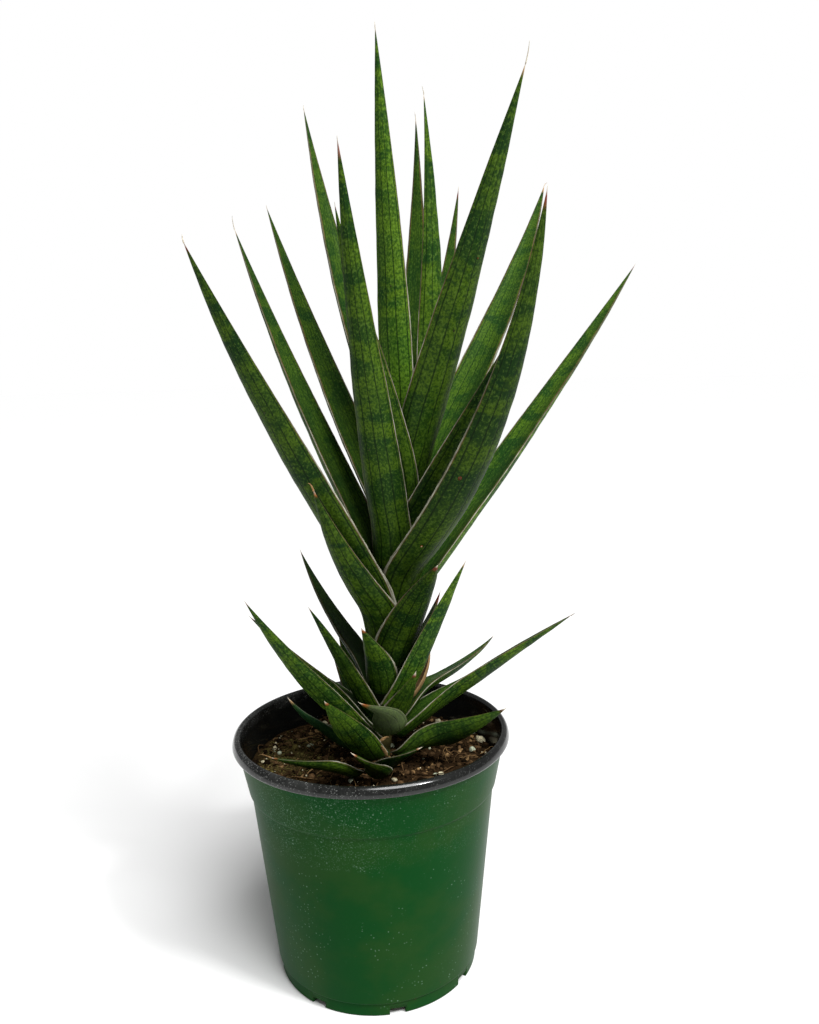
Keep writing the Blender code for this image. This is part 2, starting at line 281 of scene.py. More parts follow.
leafLooks = {  # tip colour, how far it reaches, fresh, darkening (painted shade on leaves that lie in shadow, partly their own darker tone; below zero painted light); the rest take the usual look
    1: ("orange", 4, 0.5, 0.2), 2: ("orange", 3, 0.5, 0.3), 3: ("orange", 2.5, 0.2, 0.6),
    4: ("brown", 4, 0.3, 0.3), 5: ("tan", 4, 0.2, 0.6), 7: ("orange", 4, 0.7, 0.1),
    8: ("brown", 4, 0.5, 0.2), 11: ("orange", 4.5, 0.8, -0.5), 16: ("red", 3, 0.3, 0.3),
    17: ("tan", 4, 0.7, -0.3), 18: ("orange", 4, 0.5, 0.1), 19: ("red", 3, 0.1, 0.6),
    21: ("red", 7, 0.2, 0.6), 22: ("red", 5, 0.3, 0.8), 24: ("orange", 4, 0.5, 0.6),
    25: ("red", 5, 0.4, -0.6), 26: ("red", 5, 0.4, 0.55), 28: ("red", 8, 0.2, 0.7),
    29: ("tan", 4, 0.4, 0.2), 30: ("pink", 8, 0.4, 0.25), 32: ("red", 4, 0.3, 0.95),
    33: ("red", 3, 0.5, -0.5), 34: ("tan", 7, 0.4, -0.3), 35: ("red", 3, 0.6, 0.1),
    36: ("tan", 5, 0.9, 0.25), 37: ("red", 7, 0.6, 0.1), 38: ("tan", 3, 0.7, 0.0), 39: ("tan", 4, 0.9, -0.1),
    40: ("tan", 4, 0.9, 0.0), 41: ("tan", 3, 1.7, -0.55),
}
leafWashesAndSheen = {  # colour laid over the whole leaf, and how much of it; the bluish one on leaf 5 is a painted sheen
    4: (0.030, 0.058, 0.012, 0.2), 5: (0.010, 0.060, 0.030, 0.45),
    11: (0.105, 0.125, 0.066, 0.62), 19: (0.012, 0.024, 0.010, 0.5),
}
leafMargins = {  # how wide the papery margin is, against the usual one
    1: 0.4, 2: 0.4, 3: 0.35, 4: 0.35, 5: 0.5, 7: 0.4, 8: 0.55, 10: 0.4, 11: 0.12, 12: 0.4, 13: 0.7, 14: 0.5,
    16: 0.5, 17: 0.6, 19: 0.6, 21: 0.5, 22: 1.3, 26: 1.5, 28: 1.9,
}
tipColours = {
    "orange": (0.36, 0.12, 0.035), "red": (0.16, 0.035, 0.022), "tan": (0.42, 0.26, 0.12),
    "brown": (0.09, 0.04, 0.02), "pink": (0.24, 0.11, 0.085), "pale": (0.72, 0.66, 0.52),
}
leafSizes = {
    "mixLevel": 84.0, "stemFoot": 3.0, "stemLean": 0.105, "stemRadius": 4.2, "stemGap": 0.3,
    "thickness": 3.0, "baseShare": 0.66, "edge": 0.5, "cup": 62.0, "wrap": 84.0, "leastWrap": 40.0,
    "claspReach": 16.0, "full": 0.22, "taper": 1.55, "steps": 120, "flange": 1.0,
    "rollStart": 0.05, "rollSpan": 0.4, "longLeaf": 100, "bladeColumns": 17,
}


def leafCourse(row, thickness):  # the middle line, axes and section of a leaf at every step, in millimetres
    seat, gap, heading, clasp, lean, spineLean, length, width, sway, roll = row
    size = leafSizes
    s = np.linspace(0.0, 1.0, size["steps"] + 1)
    run = s * length
    ease = smoothStep((run - size["claspReach"] * 0.4) / size["claspReach"])
    tilt = np.radians(clasp + (lean - clasp) * ease + (spineLean - lean) * s)
    turn = np.radians(heading + sway * s)
    outward = np.stack([np.cos(turn), np.sin(turn), 0.0 * turn], 1)
    up = np.array([0.0, 0.0, 1.0])
    along = np.sin(tilt)[:, None] * outward + np.cos(tilt)[:, None] * up
    along[:, 0] += size["stemLean"] * np.cos(tilt) * (1.0 - ease)
    along /= np.linalg.norm(along, axis=1)[:, None]
    baseRadius = size["stemRadius"] + size["stemGap"] + gap
    baseRadius += size["baseShare"] * thickness + 0.5 * size["edge"]
    start = np.array([size["stemFoot"] + size["stemLean"] * seat, 0.0, size["mixLevel"] + seat])
    strides = 0.5 * (along[:-1] + along[1:]) * length / size["steps"]
    middle = start + outward[0] * baseRadius + np.concatenate([np.zeros((1, 3)), np.cumsum(strides, 0)])
    cup = math.radians(size["cup"])
    fullRadius = width / 2.0 / math.sin(cup)
    startRadius = min(baseRadius / math.cos(math.radians(clasp)), fullRadius)
    startArc = min(fullRadius * cup, startRadius * math.radians(size["wrap"]))
    narrowing = 1.0 - np.clip((s - size["full"]) / (1.0 - size["full"]), 0.0, 1.0) ** size["taper"]
    radius = np.minimum(startRadius + math.tan(math.radians(clasp)) * run, fullRadius) * narrowing
    radius = np.maximum(radius, 0.16)
    arc = (startArc + (fullRadius * cup - startArc) * smoothStep(s / 0.2)) * narrowing
    wrap = np.clip(arc / radius, math.radians(size["leastWrap"]), math.radians(size["wrap"]))
    filling = size["baseShare"] + (1.0 - size["baseShare"]) * smoothStep(s / 0.2)
    depth = thickness * filling * np.maximum(narrowing, 0.01) ** 0.75
    outFace = np.cos(tilt)[:, None] * outward - np.sin(tilt)[:, None] * up
    side = np.cross(outFace, along)
    side /= np.linalg.norm(side, axis=1)[:, None]
    outFace = np.cross(along, side)
    twist = (math.radians(roll) * smoothStep((s - size["rollStart"]) / size["rollSpan"]))[:, None]
    outFace, side = (
        np.cos(twist) * outFace + np.sin(twist) * side,
        np.cos(twist) * side - np.sin(twist) * outFace,
    )
    return s, run, middle, along, side, outFace, radius, wrap, depth, narrowing


def leafPiece(name, number, row, material, replaced, thickness, look, dried=False):
    size = leafSizes
    s, run, middle, along, side, outFace, radius, wrap, depth, narrowing = leafCourse(row, thickness)
    length = row[6]
    tipName, tipReach, fresh, darkening = look
    every = 1 if length > size["longLeaf"] else 2
    picks = np.arange(0, size["steps"] + 1, every)
    blade = np.sin(np.linspace(-0.5, 0.5, size["bladeColumns"]) * math.pi)
    across = np.concatenate([[-1.16, -1.08], blade, [1.08, 1.16]])
    count = len(across)
    points = np.zeros((len(picks) + 1, 2 * count + 1, 3))
    zone = np.zeros_like(points)
    grain = np.zeros_like(points)
    scar = np.zeros((*points.shape[:2], 4))
    ragged = random.Random(number)
    # wash colour and amount; leaf 5's bluish wash is a painted sheen
    *washAndSheenTone, washAndSheenAmount = leafWashesAndSheen.get(number, (0.0, 0.0, 0.0, 0.0))
    marginShare = leafMargins.get(number, 1.0)
    tipTone = np.array(tipColours[tipName])
    paleTone = np.array(tipColours["pale"])
    for k, i in enumerate(picks):
        fading = 1.0 - 0.62 * smoothStep((run[i] - 6.0) / 24.0) - 0.26 * smoothStep((s[i] - 0.3) / 0.45)
        flange = size["flange"] * marginShare * fading * min(1.0, narrowing[i] * 1.6)
        flange *= ragged.uniform(0.85, 1.1)
        beyond = np.maximum(np.abs(across) - 1.0, 0.0) / 0.16
        inside = np.clip(across, -1.0, 1.0)
        angles = inside * wrap[i] + np.sign(across) * beyond * flange / max(radius[i], 0.6)
        edge = size["edge"] * min(1.0, radius[i] / 2.0)
        bulge = np.clip(1.0 - inside**2, 0.0, 1.0) ** 0.6
        wall = np.minimum((depth[i] - 0.5 * edge) * bulge + edge, 0.85 * radius[i])
        wall = np.where(beyond > 0, np.minimum(wall, 0.26 - 0.12 * beyond), wall)
        swell = 0.22 * wobble(run[i] / 17.0, number * 3.7) * min(1.0, radius[i] / 3.0)
        ripple = np.array([0.10 * wobble(run[i] / 5.0, a * 1.7, number) for a in across])
        ripple *= min(1.0, radius[i] / 4.0)
        spokes = np.sin(angles)[:, None] * side[i] + np.cos(angles)[:, None] * outFace[i]
        centre = middle[i] - outFace[i] * radius[i]
        outer = centre + (radius[i] + swell + ripple)[:, None] * spokes
        inner = centre + (radius[i] + swell + ripple - wall)[:, None] * spokes
        if k == 0:
            outer = inner = 0.5 * (outer + inner)
        ring = np.concatenate([outer, inner[::-1], outer[:1]])
        points[k] = ring
        both = np.concatenate([across, across[::-1], across[:1]])
        zone[k] = np.stack([both, np.full(len(both), s[i]), np.r_[np.ones(count), np.zeros(count), 1.0]], 1)
        girth = np.concatenate([angles, angles[::-1], angles[:1]]) * radius[i] * mm
        grain[k] = np.stack([girth, np.full(len(both), run[i] * mm), np.full(len(both), number * 0.731)], 1)
        left = length - run[i]
        amount = 1.0 - smoothStep((left - 0.45 * tipReach) / (0.55 * tipReach))
        tone = tipTone + (paleTone - tipTone) * (1.0 - smoothStep((left - 0.5) / 1.6))
        tone = np.array(washAndSheenTone) + (tone - np.array(washAndSheenTone)) * min(1.0, amount * 1.5)
        scar[k] = [*tone, max(amount, washAndSheenAmount)]
    points[-1] = middle[-1] + along[-1] * 0.5
    zone[-1], grain[-1], scar[-1] = zone[-2], grain[-2], scar[-2]
    if dried:
        scar[..., :3] = (0.36, 0.22, 0.10)
        scar[..., 3] = 0.9
    # fresh glow, painted shade amount (darkening) and the leaf number, read by the leaf material
    tintAndShade = np.zeros_like(points)
    tintAndShade[...] = (fresh, darkening, number)
    bm = bmesh.new()
    named = (("zone", zone), ("grain", grain), ("tintAndShade", tintAndShade))
    layers = [(bm.verts.layers.float_vector.new(key), values) for key, values in named]
    layers.append((bm.verts.layers.float_color.new("scar"), scar))
    bentGrid(bm, points * mm, layers)
    return pieceFrom(bm, name, [material], replaced)


# the inner tone is painted shade for the hollow inner face of each leaf
leafTones = {
    "band": (0.011, 0.042, 0.006, 1), "field": (0.058, 0.116, 0.007, 1), "patch": (0.056, 0.112, 0.009, 1),
    "fresh": (0.085, 0.190, 0.012, 1), "pit": (0.007, 0.028, 0.006, 1), "fleck": (0.125, 0.22, 0.035, 1),
    "line": (0.006, 0.018, 0.004, 1), "inner": (0.016, 0.050, 0.010, 1), "rust": (0.12, 0.050, 0.022, 1),
    "oldPaper": (0.16, 0.15, 0.10, 1), "paper": (0.46, 0.46, 0.37, 1), "upperPaper": (0.040, 0.038, 0.018, 1),
    "speck": (0.09, 0.045, 0.02, 1),
}


def leafMaterial():
    tone = leafTones
    made, tree, shader = newMaterial("snakeLeaf", 0.06, 0.36)
    parts = addNode(tree, "SeparateXYZ", {0: attribute(tree, "zone")})
    across, along, face = parts.outputs
    fresh, darkening, _ = addNode(tree, "SeparateXYZ", {0: attribute(tree, "tintAndShade")}).outputs
    grain = attribute(tree, "grain")
    scar = addNode(tree, "Attribute", attribute_name="scar")
    bands = noiseNode(tree, grain, (55, 120, 1), detail=3, roughness=0.6, distortion=0.4)
    patches = noiseNode(tree, grain, (30, 34, 1), detail=2)
    stipple = noiseNode(tree, grain, (1250, 950, 1), detail=2, roughness=0.65)
    shift = times(tree, noiseNode(tree, grain, (0, 38, 1), detail=1), 0.25)
    lines = mathNode(tree, "PINGPONG", plus(tree, times(tree, across, 2.4), shift), 0.5)
    broken = spread(tree, noiseNode(tree, grain, (300, 60, 1), detail=2), 0.22, 0.42)
    lines = times(tree, spread(tree, lines, 0.02, 0.10, 1.0, 0.0), broken)
    margin = mathNode(tree, "ABSOLUTE", across)

    colour = mixColour(tree, spread(tree, bands, 0.42, 0.60), tone["band"], tone["field"])
    colour = mixColour(tree, times(tree, spread(tree, patches, 0.40, 0.68), 0.55), colour, tone["patch"])
    low = times(tree, spread(tree, along, 0.02, 0.42, 1.0, 0.0), fresh)
    colour = mixColour(tree, times(tree, low, 0.60), colour, tone["fresh"])
    pits = spread(tree, stipple, 0.42, 0.50, 1.0, 0.0)
    colour = mixColour(tree, times(tree, pits, 0.62), colour, tone["pit"])
    colour = mixColour(tree, times(tree, spread(tree, stipple, 0.54, 0.64), 0.36), colour, tone["fleck"])
    colour = mixColour(tree, times(tree, lines, 0.80), colour, tone["line"])
    # painted shade: the darkening amount dims each leaf's whole colour for the shadow it lies in, partly its
    # own darker tone; below zero it paints light
    level = mathNode(tree, "SUBTRACT", 1.0, times(tree, darkening, 0.55))
    paintedShade = addNode(tree, "CombineColor", {0: level, 1: level, 2: level}).outputs[0]
    colour = mixColour(tree, 1.0, colour, paintedShade, "MULTIPLY")
    # painted shade: the hollow inner face of each leaf is mixed a share of the way towards the dark inner
    # tone
    inner = times(tree, spread(tree, face, 0.0, 1.0, 1.0, 0.0), 0.35)
    colour = mixColour(tree, inner, colour, tone["inner"])
    streaks = noiseNode(tree, grain, (2200, 160, 1), detail=3, roughness=0.65)
    rust = times(tree, spread(tree, margin, 0.965, 0.995), spread(tree, bands, 0.35, 0.6, 0.2, 0.7))
    colour = mixColour(tree, rust, colour, tone["rust"])
    paper = mixColour(tree, spread(tree, streaks, 0.35, 0.7), tone["oldPaper"], tone["paper"])
    paper = mixColour(tree, spread(tree, along, 0.36, 0.62, 0.0, 0.8), paper, tone["upperPaper"])
    skin = spread(tree, margin, 1.0, 1.045)
    colour = mixColour(tree, skin, colour, paper)
    colour = mixColour(tree, scar.outputs["Alpha"], colour, scar.outputs["Color"])
    speck = times(tree, spread(tree, scar.outputs["Alpha"], 0.55, 0.95), spread(tree, streaks, 0.45, 0.75))
    colour = mixColour(tree, times(tree, speck, 0.45), colour, tone["speck"])
    rough = plus(tree, 0.36, times(tree, stipple, 0.18))
    papery = mathNode(tree, "MAXIMUM", skin, spread(tree, scar.outputs["Alpha"], 0.7, 1.0))
    rough = plus(tree, rough, times(tree, papery, 0.35))
    height = plus(tree, times(tree, stipple, 0.5), times(tree, streaks, 0.25))
    height = mathNode(tree, "SUBTRACT", height, times(tree, lines, 0.6))
    height = plus(tree, height, times(tree, bands, 0.6))
    finishShader(tree, shader, colour, rough, height, 0.00022, 0.7)
    return made


snakeLeaf = leafMaterial()
usualLook = ("red", 3.5, 0.4, 0.2)
thickness = leafSizes["thickness"]
for number, row in leafTable.items():
    look = leafLooks.get(number, usualLook)
    leafPiece(f"blade{number:02d}", number, row, snakeLeaf, f"leaf_{number:02d}", thickness, look)
dryRow = (21, 4.5, 18, 52, 62, -14, 27, 7, 0, 0)
dryLook, dryThickness, dryNumber = ("tan", 4, 0.0, 0.0), 1.6, 60
leafPiece("dryBlade", dryNumber, dryRow, snakeLeaf, "dry_leaf", dryThickness, dryLook, dried=True)

# dry threads at the tips, dry scraps and small marks
tipThreads = {  # length, curl outwards and sideways in degrees, thickness at the start, tone
    26: (5.0, -150, 60, 0.26, "pale"), 29: (7.0, -70, -60, 0.22, "pale"), 36: (7.5, 35, 40, 0.22, "pale"),
    1: (9.0, 20, 55, 0.34, "tan"), 24: (6.5, 75, -30, 0.42, "tan"), 34: (4.0, 30, 25, 0.2, "tan"),
    41: (2.5, 0, 10, 0.18, "pale"), 40: (3.0, 0, -15, 0.16, "pale"), 38: (2.5, 10, 20, 0.16, "pale"),
    39: (3.0, 0, 25, 0.18, "pale"), 8: (2.0, 10, 0, 0.25, "brown"), 33: (2.0, 0, 10, 0.15, "pale"),
}
dryScraps = (  # path of a curled strip, half its width, tone
    (((2.7, -19, 97.9), (4.2, -19.5, 99.4), (5.7, -19, 99.7), (6.5, -18, 99.0)), 0.7, "tan"),
    (((2.3, -18, 97.2), (4.2, -18.5, 95.0), (5.0, -18.5, 93.4), (5.5, -18, 91.4)), 0.8, "tan"),
    (((-19, -24, 91), (-14, -26, 91.5), (-9.5, -25, 90), (-8, -23.5, 88)), 1.0, "tan"),
    (((3.5, -14, 99.5), (7, -15, 101), (11, -14.5, 103.5)), 0.5, "tan"),
    (((2, -35, 85.2), (6, -36, 85.8), (10, -34.5, 85.2)), 0.9, "moss"),
    (((-6, -36, 85.2), (-3, -38, 86.0), (-1, -37, 85.4)), 0.7, "moss"),
    (((-30, -18, 85.5), (-25, -22, 86.3), (-20, -22, 85.6)), 0.7, "tan"),
)
leafMarks = (  # leaf, share of its length, angle in degrees, size, tone
    (28, 0.41, 34, 0.62, "red"), (28, 0.412, 34, 0.36, "darkening"), (28, 0.20, 30, 0.42, "orange"),
    (28, 0.20, 30, 0.24, "pale"), (37, 0.93, 20, 0.5, "pale"), (26, 0.62, -10, 0.3, "darkening"),
    (30, 0.35, 15, 0.28, "darkening"), (41, 0.4, -20, 0.25, "darkening"), (36, 0.45, 5, 0.3, "darkening"),
    (36, 0.62, -8, 0.24, "red"), (24, 0.5, 25, 0.3, "darkening"), (12, 0.72, 30, 0.35, "pale"),
)
dryTones = {**tipColours, "moss": (0.16, 0.17, 0.06), "darkening": (0.05, 0.06, 0.03)}
threadSteps, scrapSteps = 14, 16


def dryMaterial():
    made, tree, shader = newMaterial("dryHusk")
    place = addNode(tree, "TexCoord").outputs["Object"]
    tone = attribute(tree, "tone", "Color")
    streaks = noiseNode(tree, place, (700, 700, 1600), detail=4, roughness=0.65)
    dark = mixColour(tree, 1.0, tone, (0.45, 0.38, 0.32, 1), "MULTIPLY")
    colour = mixColour(tree, spread(tree, streaks, 0.36, 0.62), dark, tone)
    finishShader(tree, shader, colour, 0.75, streaks, 0.0002, 0.7)
    return made


def toned(bm, points, tone):
    layer = bm.verts.layers.float_color.get("tone") or bm.verts.layers.float_color.new("tone")
    values = np.zeros((*points.shape[:2], 4))
    values[...] = (*tone, 1.0)
    bentGrid(bm, points, [(layer, values)])


def dryThreads():
    bm = bmesh.new()
    for number, (length, curlOut, curlSide, thick, tone) in tipThreads.items():
        _, _, middle, along, side, outFace, *_ = leafCourse(leafTable[number], leafSizes["thickness"])
        spot, path = middle[-1] - along[-1] * 1.2, []
        for t in np.linspace(0, 1, threadSteps):
            path.append(spot)
            outTurn, sideTurn = math.radians(curlOut) * t, math.radians(curlSide) * t
            heading = along[-1] * math.cos(outTurn) * math.cos(sideTurn)
            heading = heading + outFace[-1] * math.sin(outTurn) + side[-1] * math.sin(sideTurn)
            spot = spot + heading / np.linalg.norm(heading) * length / (threadSteps - 1)
        toned(bm, tubePoints(path, np.linspace(thick, 0.05, threadSteps), 7, 0.6), dryTones[tone])
    return pieceFrom(bm, "tipThreads", [dryHusk], merge=0.000001)


def scrapPiece():
    bm = bmesh.new()
    for path, half, tone in dryScraps:
        corners = np.array(path, float)
        spots = np.linspace(0, len(corners) - 1, scrapSteps)
        fine = np.stack([np.interp(spots, np.arange(len(corners)), corners[:, k]) for k in range(3)], 1)
        fine[1:-1] = 0.25 * fine[:-2] + 0.5 * fine[1:-1] + 0.25 * fine[2:]
        radii = half * np.sin(np.linspace(0.15, math.pi - 0.1, scrapSteps)) ** 0.5
        toned(bm, tubePoints(fine, radii, 10, 0.16), dryTones[tone])
    return pieceFrom(bm, "dryScraps", [dryHusk], merge=0.000001)


def markPiece():
    dot = templateMesh("create_icosphere", subdivisions=2, radius=1.0)
    makers = []
    for number, share, angle, size, tone in leafMarks:
        _, _, middle, along, side, outFace, radius, *_ = leafCourse(leafTable[number], leafSizes["thickness"])
        i = round(share * leafSizes["steps"])
        a = math.radians(angle)
        spoke = math.sin(a) * side[i] + math.cos(a) * outFace[i]
        spot = middle[i] - outFace[i] * radius[i] + (radius[i] + 0.02) * spoke
        across = np.cross(along[i], spoke)
        thick = 0.16 if tone in ("pale", "darkening") and size < 0.5 else 0.08
        axes = np.stack([across * size, along[i] * size * 1.3, spoke * thick, spot], 1) * mm
        place = Matrix([*axes.tolist(), [0, 0, 0, 1]])
        makers.append((dot, place, dryTones[tone], 0.15))
    return scatterPiece("leafMarks", dryHusk, makers)


dryHusk = dryMaterial()
dryThreads()
scrapPiece()
markPiece()
print("leaves done")


# stem
stemSizes = {
    "height": 122.0, "buried": 14.0, "radius": 4.2, "topRadius": 3.4, "steps": 40,
    "rows": 110, "nodeSpacing": 6.5, "groove": 0.22,
}


def stemPiece():
    size = stemSizes
    span = size["height"] + size["buried"]
    profile = [(0.0, -size["buried"])]
    for k in range(size["rows"]):
        t = k / (size["rows"] - 1)
        z = -size["buried"] + span * t
        ring = abs((z / size["nodeSpacing"]) % 1.0 - 0.5) * 2.0
        groove = size["groove"] * max(0.0, 1.0 - ring * 5.0)
        profile.append((size["radius"] + (size["topRadius"] - size["radius"]) * t - groove, z))
    profile.append((0.0, size["height"]))
    bm = spunMesh(profile, size["steps"])
    for vert in bm.verts:
        z = vert.co.z
        vert.co.x += leafSizes["stemLean"] * z + leafSizes["stemFoot"] * mm
        vert.co.z += leafSizes["mixLevel"] * mm
    return pieceFrom(bm, "stemCore", [stemMaterial()], "stem")


def stemMaterial():
    made, tree, shader = newMaterial("stemSkin")
    place = addNode(tree, "TexCoord").outputs["Object"]
    blotch = noiseNode(tree, place, (160, 160, 60), detail=4)
    fine = noiseNode(tree, place, (1300, 1300, 400), detail=3)
    green, brown = (0.022, 0.052, 0.009, 1), (0.060, 0.050, 0.018, 1)
    colour = mixColour(tree, spread(tree, blotch, 0.38, 0.62), green, brown)
    colour = mixColour(tree, times(tree, fine, 0.4), colour, (0.045, 0.040, 0.012, 1))
    finishShader(tree, shader, colour, 0.6, fine, 0.0002, 0.5)
    return made


stemPiece()
print("stem done")


# pot
potSizes = {
    "rim": 54.0, "height": 97.0, "wall": 1.2, "floor": 1.6, "band": 4.0, "overhang": 2.1,
    "collar": 76.0, "step": 0.9, "top": 47.6, "foot": 40.4, "footBand": 5.5, "footStep": 1.0,
    "drains": 8, "drainWidth": 6.0, "drainHeight": 2.6, "drainDepth": 5.0, "drainFirst": 279.0,
    "drainEdge": 0.6, "cornerRadius": 0.7, "steps": 168,
}


def potProfile():
    p = potSizes
    rimInner = p["rim"] - p["overhang"] - p["wall"]
    bandFoot = p["height"] - p["band"]
    collarFoot = p["top"] + p["step"]
    footRadius = p["foot"] - p["footStep"]
    outside = [
        (0.0, 0.0), (footRadius, 0.0), (footRadius, p["footBand"] - 0.4), (p["foot"], p["footBand"]),
        (p["top"], p["collar"] - 0.8), (collarFoot, p["collar"]), (p["rim"] - p["overhang"], bandFoot),
        (p["rim"] - 0.4, bandFoot), (p["rim"], bandFoot + 0.6), (p["rim"] - 0.15, p["height"] - 2.3),
        (p["rim"] - 0.75, p["height"] - 0.8), (p["rim"] - 1.8, p["height"]),
        (rimInner + 0.7, p["height"] - 0.1),
        (rimInner, p["height"] - 1.0), (rimInner, bandFoot),
        (collarFoot - p["wall"], p["collar"]), (p["top"] - p["wall"], p["collar"] - 0.8),
        (p["foot"] - p["wall"], p["footBand"]), (footRadius - p["wall"], p["footBand"] - 0.4),
        (footRadius - p["wall"], p["floor"]), (0.0, p["floor"]),
    ]
    return roundedProfile(outside, p["cornerRadius"])


def potPiece():
    p = potSizes
    bm = spunMesh(potProfile(), p["steps"])
    bmesh.ops.recalc_face_normals(bm, faces=bm.faces)
    shell = bpy.data.meshes.new("potShell")
    bm.to_mesh(shell)
    bm.free()
    holder = bpy.data.objects.new("potShell", shell)
    cutterMesh = bpy.data.meshes.new("drainCutters")
    cuts = bmesh.new()
    footRadius = p["foot"] - p["footStep"]
    reach = p["drainDepth"] + 4.0
    for k in range(p["drains"]):
        turn = math.radians(p["drainFirst"] + 360.0 * k / p["drains"])
        middle = footRadius - p["drainDepth"] + reach / 2.0
        place = Matrix.Rotation(turn, 4, "Z") @ Matrix.Translation((middle * mm, 0, 0))
        place = place @ Matrix.Diagonal((reach * mm, p["drainWidth"] * mm, 2.0 * p["drainHeight"] * mm, 1.0))
        bmesh.ops.create_cube(cuts, size=1.0, matrix=place)
    bmesh.ops.bevel(
        cuts, geom=cuts.edges[:], offset=p["drainEdge"] * mm, segments=2, profile=0.5,
        affect="EDGES", material=-1,
    )
    cuts.to_mesh(cutterMesh)
    cuts.free()
    cutter = bpy.data.objects.new("drainCutters", cutterMesh)
    for obj in (holder, cutter):
        bpy.context.scene.collection.objects.link(obj)
    cut = holder.modifiers.new("drains", "BOOLEAN")
    cut.operation, cut.solver, cut.object = "DIFFERENCE", "EXACT", cutter
    graph = bpy.context.evaluated_depsgraph_get()
    made = bmesh.new()
    made.from_object(holder, graph)
    for obj in (holder, cutter):
        bpy.data.objects.remove(obj, do_unlink=True)
    bandFoot = (p["height"] - p["band"] - 0.05) * mm
    made.normal_update()
    for face in made.faces:
        middle = face.calc_center_median()
        outward = face.normal.x * middle.x + face.normal.y * middle.y
        outside = middle.z < bandFoot and (outward > 0 or middle.z < 0.5 * mm)
        drain = middle.z < p["drainHeight"] * mm + 0.0001
        face.material_index = 0 if outside or drain else 1
    return pieceFrom(made, "potBody", [greenPlastic(), blackPlastic()], "pot", merge=0.0)


def dustMask(tree, place, fineness, low, high):
    cloud = noiseNode(tree, place, (fineness, fineness, fineness), detail=5, roughness=0.7)
    return spread(tree, cloud, low, high)


def greenPlastic():
    made, tree, shader = newMaterial("greenPlastic", 0.045, 0.20)
    place = addNode(tree, "TexCoord").outputs["Object"]
    x, _, z = addNode(tree, "SeparateXYZ", {0: place}).outputs
    cloud = noiseNode(tree, place, (24, 24, 30), detail=4, roughness=0.6)
    deep, warm = (0.0016, 0.047, 0.0068, 1), (0.0100, 0.050, 0.0070, 1)
    colour = mixColour(tree, spread(tree, cloud, 0.40, 0.62), deep, warm)
    smear = times(tree, spread(tree, cloud, 0.45, 0.75), 0.006)
    scuff = noiseNode(tree, place, (300, 300, 160), detail=7, roughness=0.8)
    edge = plus(tree, z, times(tree, noiseNode(tree, place, (90, 90, 90)), 0.003))
    dusty = times(tree, spread(tree, edge, 0.0625, 0.0640), spread(tree, x, -0.030, 0.014, 1.0, 0.26))
    wavy = vectorNode(tree, "ADD", place, warp(tree, place, 900, 0.0006))
    thin = spread(tree, noiseNode(tree, place, (70, 70, 70), detail=3), 0.34, 0.60, 0.25, 1.0)
    dusty = times(tree, dusty, thin)
    marks = times(tree, spread(tree, scuff, 0.56, 0.72), plus(tree, 0.015, times(tree, dusty, 0.16)))
    fine = times(tree, dots(tree, wavy, 1900, 0.46, 0.5), times(tree, dusty, 0.34))
    rare = spread(tree, noiseNode(tree, place, (48, 48, 48), detail=2), 0.50, 0.66, 0.0, 0.45)
    share = mathNode(tree, "MAXIMUM", rare, times(tree, dusty, 0.60))
    coarse = times(tree, dots(tree, wavy, 760, 0.26, 0.5), share)
    specks = mathNode(tree, "MAXIMUM", fine, coarse)
    dust = plus(tree, plus(tree, smear, marks), specks, clamp=True)
    colour = mixColour(tree, dust, colour, (0.19, 0.31, 0.22, 1))
    soil = times(tree, dustMask(tree, place, 520, 0.66, 0.72), spread(tree, z, 0.004, 0.016, 0.9, 0.12))
    colour = mixColour(tree, soil, colour, (0.05, 0.032, 0.016, 1))
    rough = plus(tree, plus(tree, 0.30, times(tree, dust, 0.5)), times(tree, cloud, 0.10))
    grainy = noiseNode(tree, place, (1400, 1400, 1400), detail=2)
    finishShader(tree, shader, colour, rough, plus(tree, grainy, scuff), 0.00004, 0.5)
    return made


def blackPlastic():
    made, tree, shader = newMaterial("blackPlastic", 0.85, 0.14)
    place = addNode(tree, "TexCoord").outputs["Object"]
    cloud = noiseNode(tree, place, (60, 60, 60), detail=5, roughness=0.65)
    x, _, z = addNode(tree, "SeparateXYZ", {0: place}).outputs
    high = times(tree, spread(tree, z, 0.0915, 0.0945), spread(tree, x, -0.020, 0.022, 1.0, 0.22))
    grit = times(tree, dots(tree, place, 1700, 0.38, 0.35), 0.6)
    specks = mathNode(tree, "MAXIMUM", dustMask(tree, place, 900, 0.60, 0.70), grit)
    film = times(tree, spread(tree, cloud, 0.36, 0.70), times(tree, high, 0.07))
    specks = times(tree, specks, plus(tree, 0.02, times(tree, high, 0.40)))
    dust = plus(tree, film, specks, clamp=True)
    colour = mixColour(tree, dust, (0.004, 0.0045, 0.004, 1), (0.42, 0.43, 0.41, 1))
    rough = plus(tree, 0.24, times(tree, dust, 0.7))
    grainy = noiseNode(tree, place, (1200, 1200, 1200), detail=2)
    finishShader(tree, shader, colour, rough, grainy, 0.00005, 0.5)
    return made


potPiece()
print("pot done")


# potting mix
mixSizes = {
    "level": 84.0, "dish": 1.5, "edge": 48.3, "rings": 64, "turns": 200, "clods": 2300, "fibres": 170,
    "mossFibres": 420, "chips": 90, "crumbs": 60, "reach": 47.0,
}
mixTones = {
    "black": (0.010, 0.006, 0.003), "dark": (0.032, 0.018, 0.008), "brown": (0.095, 0.055, 0.025),
    "tan": (0.26, 0.16, 0.07), "olive": (0.070, 0.055, 0.018), "moss": (0.140, 0.115, 0.036),
    "perlite": (0.66, 0.60, 0.40), "grey": (0.46, 0.50, 0.36),
}


def mossiness(x, y):  # the clump on the left, in millimetres
    ragged = 0.75 + 0.7 * wobble(x / 7, y / 7, 21)
    return min(1.0, ragged * math.exp(-(((x + 33) / 12) ** 2 + ((y - 4) / 17) ** 2)))


